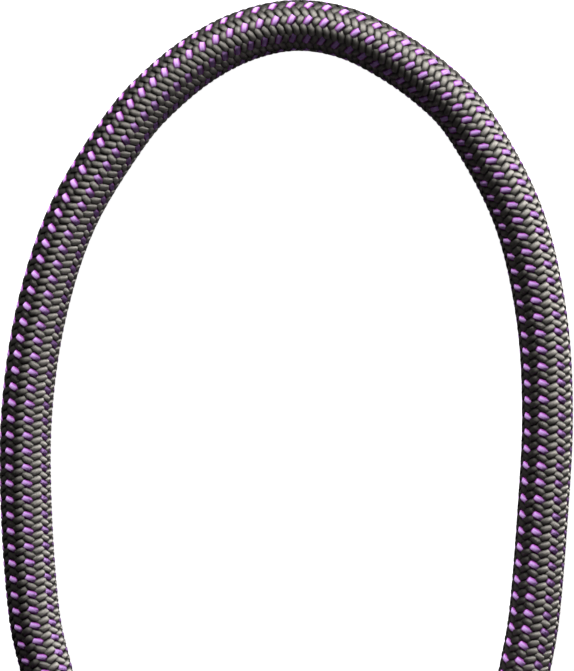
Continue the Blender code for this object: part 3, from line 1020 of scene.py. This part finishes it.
# a box with a cross in it
edge, near, far = strap["width"] / 2 - strap["seamSide"], strap["seamEnd"], strap["hem"]
hemStitches = strapSeam("hemStitches", [
    ((near, -edge), (near, edge)), ((far, -edge), (far, edge)),
    ((near, -edge), (far, -edge)), ((near, edge), (far, edge)),
    ((near, -edge), (far, edge)), ((near, edge), (far, -edge))])

# The rope's ends.
ends = {
    "film": 0.33 * mm,  # how far the film stands off the gap round the rope
    "sides": 64,
    "rows": 72,
    "lip": 1.4 * mm,  # how far in from each mouth the film draws together
    "drawnIn": 0.14 * mm,
    "inset": 0.1 * mm,  # of the film's inner edge at its outer mouth, half that of the other
    "yarnDents": 0.09 * mm,
    "yarnLay": 0.9,  # how far the yarns under the film wind, to how far they run
    "pucker": 0.08 * mm,
    "mouthPucker": 1.9,  # times that at the mouths
    "lumps": 0.05,  # of the melted tip, as shares of its size
    "lumpsUp": 1.5,  # times that along the rope
    "tipShort": 0.97,  # the outline's share of the solid tip's length
    "tipMiddle": 0.93,  # and its middle's
    "tipOver": 0.1 * mm,  # the most that a lump may stand out of the rope
}
# the melted tip's outline, as shares of the rope's radius and of the tip's length
meltedOutline = [(1.0, 0.0), (1.0, 0.3), (1.0, 0.6), (0.99, 0.8), (0.94, 0.93), (0.85, 1.0),
                 (0.7, 1.02), (0.5, 1.0), (0.3, 0.96), (0.12, 0.94)]


def unevenness(x, y, seed):
    # a few fixed waves, for wrinkles and lumps
    random = np.random.default_rng(seed)
    value = 0.0
    for _ in range(6):
        a, b = random.integers(1, 6), random.uniform(0.2, 2.5)
        value = value + np.sin(a * x + b * y + random.uniform(0, 6.28)) / 6
    return value


def waysRound(along):
    across = np.cross(along, (0, 0, 1.0))
    across /= np.linalg.norm(across)
    angles = np.arange(ends["sides"]) * 2 * math.pi / ends["sides"]
    ways = np.cos(angles)[:, None] * np.cross(across, along) + np.sin(angles)[:, None] * across
    return angles, ways


def makeSleeve(name, tip, along, seed):
    angles, ways = waysRound(along)
    length, inner = rope["sleeve"], radius + rope["gap"]
    start = tip - along * length
    points = [start + along * 2 * ends["inset"] + ways * inner]
    for distance in np.linspace(0, length, ends["rows"]):
        # the film sinks between the yarns, and puckers at both mouths
        mouth = min(distance, length - distance) / ends["lip"]
        lay = ends["yarnLay"] * distance / radius
        dents = np.cos(8 * (angles - lay)) * np.cos(8 * (angles + lay))
        pucker = unevenness(angles, distance / mm, seed) * ends["pucker"]
        pucker *= 1 if mouth > 1 else ends["mouthPucker"]
        out = inner + ends["film"] + ends["yarnDents"] * dents + pucker
        out -= ends["drawnIn"] * max(0.0, 1 - mouth) ** 2
        points.append(start + along * distance + ways * out[:, None])
    points.append(start + along * (length - ends["inset"]) + ways * inner)
    faces = ringFaces(len(points), ends["sides"], closedRows=True)
    return meshPiece(name, np.vstack(points), faces, finish["shrinkFilm"])


def makeMeltedTip(name, tip, along, seed):
    angles, ways = waysRound(along)
    sides, length = ends["sides"], rope["fused"]
    base = tip - along * length
    points = [base[None]]
    for share, height in meltedOutline:
        wobble = 1 + ends["lumps"] * unevenness(angles, height * 4 + share, seed)
        lumps = ends["lumpsUp"] * ends["lumps"] * unevenness(angles * 2, share * 5, seed + 4)
        height = (height + lumps * (height > 0.5)) * length * ends["tipShort"]
        out = np.minimum(radius * share * wobble, radius + ends["tipOver"])
        points.append(base + along * height[:, None] + ways * out[:, None])
    points.append((base + along * length * ends["tipMiddle"])[None])
    faces = [tuple(corner + 1 for corner in face) for face in ringFaces(len(meltedOutline), sides)]
    last = 1 + (len(meltedOutline) - 1) * sides
    for side in range(sides):
        after = (side + 1) % sides
        faces += [(0, 1 + after, 1 + side), (last + side, last + after, last + sides)]
    return meshPiece(name, np.vstack(points), faces, finish["meltedNylon"])


def endOf(line):
    # the melted tip's end, and the way the rope runs there
    along = line[-1] - line[-12]
    along /= np.linalg.norm(along)
    return line[-1] + along * (rope["fused"] + rope["gap"]), along


endA, endB = endOf(freeLine[::-1]), endOf(hankLine)
sleeveA, sleeveB = makeSleeve("sleeveA", *endA, 3), makeSleeve("sleeveB", *endB, 8)
meltedTipA = makeMeltedTip("meltedTipA", *endA, 8)
meltedTipB = makeMeltedTip("meltedTipB", *endB, 13)

# the core's own solids stay, in undyed nylon
for name, node in frame["nodes"].items():
    if name.startswith("core_strand"):
        node.data.materials.clear()
        node.data.materials.append(finish["coreNylon"])

for slot, made in {"braid": [*sheathYarns, freeStretch, hankRope, *hankFloats],
                   "webbing": [hankStrap, hemStitches], "shrink_film": [sleeveA, sleeveB],
                   "melted_nylon": [meltedTipA, meltedTipB]}.items():
    for piece in made:
        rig.ride(piece, "root")
        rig.slot(piece, slot)
for piece, node in [(freeStretch, "sheath"), (hankRope, "hanked_rope"), (hankStrap, "hank_tie"),
                    (sleeveA, "end_sleeve_a"), (sleeveB, "end_sleeve_b"),
                    (meltedTipA, "fused_end_a"), (meltedTipB, "fused_end_b")]:
    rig.replaces(piece, node)
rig.cord(freeStretch, exit=freePoints[0], length=float(reachOf(freePoints)[-1]),
        diameter=rope["diameter"], far_end="object", stiffness="medium", lay="loose",
        path=freePoints, with_pieces=[*sheathYarns, sleeveA, meltedTipA])
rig.cord(hankRope, exit=hankPoints[0], length=float(reachOf(hankPoints)[-1]),
        diameter=rope["diameter"], far_end="bare", stiffness="medium", lay="coiled",
        path=hankPoints, with_pieces=[*hankFloats, sleeveB, meltedTipB, hankStrap, hemStitches])

# Floor, lamps and camera.
studio = {
    "middle": (-1.3 * mm, 222 * mm, 4.9 * mm),  # what camera and lamps look at
    "lens": 250,
    "sensor": 36,
    "pictureHeight": 134.2 * mm,
    "skyShade": 0.018,
    "floorSide": 80,
    "floorHeight": -0.3 * mm,  # the rope's lowest yarns sink that far below the solids
    "paper": (0.8, 0.8, 0.8),
    # where each lamp stands, from +X towards +Y and above the floor, its distance, size and power;
    # the hank keeps the last one's light off the bight
    "keySheen": (30, 14, 1.6, 1.0, 66),
    "softFill": (104, 13, 1.6, 0.4, 56),
    "frontFill": (268, 14, 1.6, 0.6, 1.4),
    "hankFill": (270, 4, 1.6, 0.3, 26),
}


def addLamp(name):
    azimuth, height, distance, size, power = studio[name]
    azimuth, height = math.radians(azimuth), math.radians(height)
    way = Vector((math.cos(height) * math.cos(azimuth), math.cos(height) * math.sin(azimuth),
                  math.sin(height)))
    light = bpy.data.lights.new(name, "AREA")
    light.shape, light.size, light.energy = "DISK", size, power
    lamp = placed(name, light)
    lamp.location = Vector(studio["middle"]) + way * distance
    lamp.rotation_mode = "QUATERNION"
    lamp.rotation_quaternion = way.to_track_quat("Z", "Y")
    lamp.visible_camera = False
    return lamp


def makeStudio():
    world = bpy.data.worlds.new("studio")
    bpy.context.scene.world = world
    world.use_nodes = True
    # the backdrop is white to the eye, and lights the rope only a little
    add, sky = wiring(world.node_tree)[0], world.node_tree.nodes["Background"]
    sky.inputs["Color"].default_value = (1, 1, 1, 1)
    seen = add("ShaderNodeLightPath")
    strength = add("ShaderNodeMapRange", seen, 0.0, 1.0, studio["skyShade"], 1.0)
    world.node_tree.links.new(strength, sky.inputs["Strength"])
    floorMesh = bpy.data.meshes.new("floor")
    half = studio["floorSide"] / 2
    corners = [(-half, -half, 0), (half, -half, 0), (half, half, 0), (-half, half, 0)]
    floorMesh.from_pydata(corners, [], [(0, 1, 2, 3)])
    floor = placed("floor", floorMesh)
    floor.location.z = studio["floorHeight"]
    paper = newMaterial("paper", studio["paper"], 1.0, Specular_IOR_Level=0.0,
                        Emission_Color=(1, 1, 1, 1), Emission_Strength=1.0)[0]
    floorMesh.materials.append(paper)
    floor.visible_diffuse = floor.visible_glossy = False
    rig.stage(floor)
    addLamp("keySheen").visible_diffuse = False  # gloss only
    addLamp("softFill").visible_glossy = False  # no gloss
    addLamp("frontFill")
    addLamp("hankFill")
    camera = bpy.data.cameras.new("camera")
    camera.lens, camera.sensor_width = studio["lens"], studio["sensor"]
    camera.clip_start, camera.clip_end = 0.05, 100
    eye = placed("camera", camera)
    above = studio["pictureHeight"] * studio["lens"] / studio["sensor"]
    eye.location = Vector(studio["middle"]) + Vector((0, 0, above))
    bpy.context.scene.camera = eye
    bpy.context.scene.view_settings.view_transform = "Standard"
    print("studio: floor, four lamps and camera")


makeStudio()
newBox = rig.bounds()
with open("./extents.json", "w") as sizes:
    json.dump({"cad": [list(corner) for corner in cadBox],
               "now": [list(corner) for corner in newBox]}, sizes)
print("size", [list(corner) for corner in newBox])
